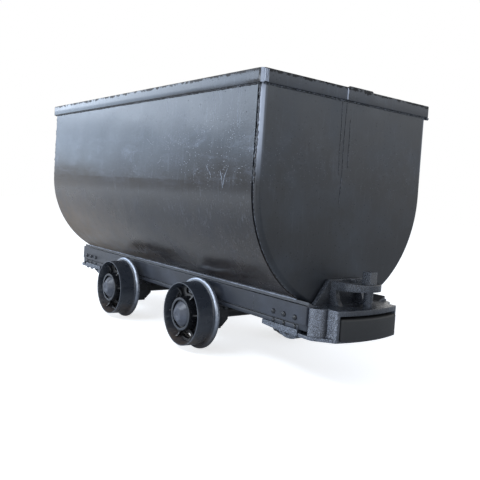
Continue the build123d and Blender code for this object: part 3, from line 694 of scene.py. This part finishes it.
def rivet_head(place, facing, width_mm, rise_mm):
    """A snap-head rivet: half a ball, a little flattened, its foot in the plate."""
    start_clean()
    bpy.ops.mesh.primitive_uv_sphere_add(segments=20, ring_count=12, radius=width_mm / 2 * MM)
    head = bpy.context.object
    bpy.ops.object.mode_set(mode="EDIT")
    bpy.ops.mesh.select_all(action="SELECT")
    bpy.ops.mesh.bisect(plane_co=(0, 0, 0), plane_no=(0, 0, 1), clear_inner=True, use_fill=True)
    bpy.ops.mesh.select_all(action="SELECT")
    bpy.ops.transform.resize(value=(1, 1, 2 * rise_mm / width_mm))
    bpy.ops.object.mode_set(mode="OBJECT")
    head.rotation_euler = Vector(facing).to_track_quat("Z", "Y").to_euler()
    head.location = place
    settle(head)
    return head


BOLT_WIDTH_MM, BOLT_RISE_MM = 24, 13


def bolt_head(place):
    """A hexagon head under a flange, its lower edges turned round, with the
    bolt's end standing out of it."""
    start_clean()
    bpy.ops.mesh.primitive_cylinder_add(vertices=6, radius=BOLT_WIDTH_MM / 2 * MM,
                                        depth=BOLT_RISE_MM * MM, location=place)
    head = bpy.context.object
    settle(head)
    low_z = place[2] - BOLT_RISE_MM / 2 * MM
    pick(head, "FACE", lambda face: abs(face.center.z - low_z) < MM)
    bpy.ops.mesh.inset(thickness=1.6 * MM)
    bpy.ops.transform.translate(value=(0, 0, -1.2 * MM))
    bpy.ops.mesh.inset(thickness=4.5 * MM)
    bpy.ops.mesh.extrude_region_move(TRANSFORM_OT_translate={"value": (0, 0, -6 * MM)})
    bpy.ops.object.mode_set(mode="OBJECT")
    return head


def join_heads(heads, name):
    hold(heads[0])
    for head in heads:
        head.select_set(True)
    if len(heads) > 1:
        bpy.ops.object.join()
    dress(heads[0], name, rivet_enamel, "car", smooth_angle=50)


def rivet_group(name, places, facing, width_mm=23, rise_mm=10):
    join_heads([rivet_head(place, facing, width_mm, rise_mm) for place in places], name)


SILL_RIVET_X = (0.865, 0.929, 0.994)
WEB_RIVET_Z = 0.273
LIP_RIVET_Y, LIP_RIVET_Z = 0.2465, 0.236
FOOT_RIVET_X = (0.872, 0.939, 1.0)
FOOT_RIVET_Y, FOOT_LOW_Z = 0.236, 0.203
SEAT_RIVET_X, SEAT_RIVET_Z = 0.03, 0.268  # X is from the axle
SEAT_BOLT_X, SEAT_BOLT_Y, SEAT_BOLT_Z = (-0.08, 0.08), (0.188, 0.232), 0.204  # likewise
for hand, side in HANDS:
    outward = (0, side, 0)
    for end, along in ENDS:
        seat_x = along * WHEELBASE_HALF
        rivet_group(f"web_rivets_{end}_{hand}",
                    [(along * x, side * SILL_FACE_Y, WEB_RIVET_Z) for x in SILL_RIVET_X],
                    outward)
        rivet_group(f"lip_rivets_{end}_{hand}",
                    [(along * x, side * LIP_RIVET_Y, LIP_RIVET_Z) for x in SILL_RIVET_X],
                    outward, 17, 7)
        rivet_group(f"foot_rivets_{end}_{hand}",
                    [(along * x, side * FOOT_RIVET_Y, FOOT_LOW_Z) for x in FOOT_RIVET_X],
                    (0, 0, -1), 26, 16)
        rivet_group(f"seat_rivet_{end}_{hand}",
                    [(seat_x - side * SEAT_RIVET_X, side * SILL_FACE_Y, SEAT_RIVET_Z)],
                    outward, 20, 9)
        join_heads([bolt_head((seat_x + x, side * y, SEAT_BOLT_Z))
                    for x in SEAT_BOLT_X for y in SEAT_BOLT_Y],
                   f"seat_bolts_{end}_{hand}")


# Pale floor, soft lamps and a pale world

FLOOR_LIFT = 0.7
FLOOR_GLOSS_LIFT = 0.6
SKY_BLUE = (0.66, 0.8, 1.0)
PALE_BLUE = (0.78, 0.88, 1.0)
DEEP_BLUE = (0.52, 0.72, 1.0)


def seen_rays(tree):
    """1 for camera, glossy and transmission rays, and 0 for the light on the object."""
    path = add_node(tree, "ShaderNodeLightPath")
    shiny = calculate(tree, "MAXIMUM", (path, "Is Glossy Ray"), (path, "Is Transmission Ray"))
    return calculate(tree, "MAXIMUM", (path, "Is Camera Ray"), shiny)


def pale_floor():
    """A matte floor, white to the camera. The car's gloss sees it white too,
    but only well out on the near side, so the belly mirrors dark ground."""
    start_clean()
    bpy.ops.mesh.primitive_plane_add(size=40, location=(0, 0, -0.0005))
    floor = bpy.context.object
    floor.name = "floor"
    material, tree, shader = new_material("pale_floor")
    shader.inputs["Base Color"].default_value = (0.8, 0.8, 0.8, 1)
    shader.inputs["Roughness"].default_value = 0.9
    shader.inputs["Specular IOR Level"].default_value = 0.0
    shader.inputs["Emission Color"].default_value = (1, 1, 1, 1)
    path = add_node(tree, "ShaderNodeLightPath")
    _, y, _ = axes_of(tree, object_place(tree))
    clear = ramp(tree, y, -1.05, -2.9, 0, FLOOR_GLOSS_LIFT)
    mirrored = times(tree, clear, (path, "Is Glossy Ray"))
    lift = calculate(tree, "MULTIPLY_ADD", (path, "Is Camera Ray"), FLOOR_LIFT, mirrored)
    connect(tree, shader, {"Emission Strength": lift})
    floor.data.materials.append(material)


def pale_world():
    world = bpy.data.worlds.new("studio")
    bpy.context.scene.world = world
    world.use_nodes = True
    tree = world.node_tree
    back = tree.nodes["Background"]
    back.inputs["Color"].default_value = (0.84, 0.9, 1.0, 1)
    back.inputs["Strength"].default_value = 0.55
    white = add_node(tree, "ShaderNodeBackground", inputs={"Color": (1, 1, 1, 1), "Strength": 1.0})
    mix = add_node(tree, "ShaderNodeMixShader",
                   links={0: seen_rays(tree), 1: (back, 0), 2: (white, 0)})
    connect(tree, tree.nodes["World Output"], {"Surface": (mix, 0)})


def soft_lamp(name, place, target, size, power, colour):
    lamp = bpy.data.lights.new(name, "AREA")
    lamp.shape = "RECTANGLE"
    lamp.size, lamp.size_y = size
    lamp.energy = power
    lamp.color = colour
    holder = bpy.data.objects.new(name, lamp)
    bpy.context.scene.collection.objects.link(holder)
    holder.location = place
    holder.rotation_euler = (Vector(target) - Vector(place)).to_track_quat("-Z", "Y").to_euler()


pale_floor()
pale_world()
soft_lamp("low_side_sky", (-6.95, -3.3, 1.22), (0, -0.5, 1.22), (3.6, 0.4), 9, DEEP_BLUE)
soft_lamp("mid_side_sky", (-6.6, -4.15, 1.65), (0, -0.5, 1.65), (4.8, 0.48), 16, DEEP_BLUE)
soft_lamp("high_side_sky", (-6.3, -4.6, 2.95), (0, -0.5, 2.9), (5.6, 2.1), 182, SKY_BLUE)
soft_lamp("corner_sky", (-0.6, -7.2, 1.9), (0.9, -0.5, 0.9), (5.0, 1.2), 130, PALE_BLUE)
soft_lamp("near_sky", (8.7, -2.6, 2.0), (1, -0.5, 1.0), (8.0, 1.7), 100, PALE_BLUE)
soft_lamp("over_sky", (-0.4, -4.4, 5.2), (0.2, -0.2, 0.3), (4.5, 1.7), 190, PALE_BLUE)
soft_lamp("front_sky", (6.6, 4.9, 3.35), (1, 0, 0.9), (4.5, 2.6), 78, SKY_BLUE)

bpy.context.scene.view_settings.view_transform = "Standard"
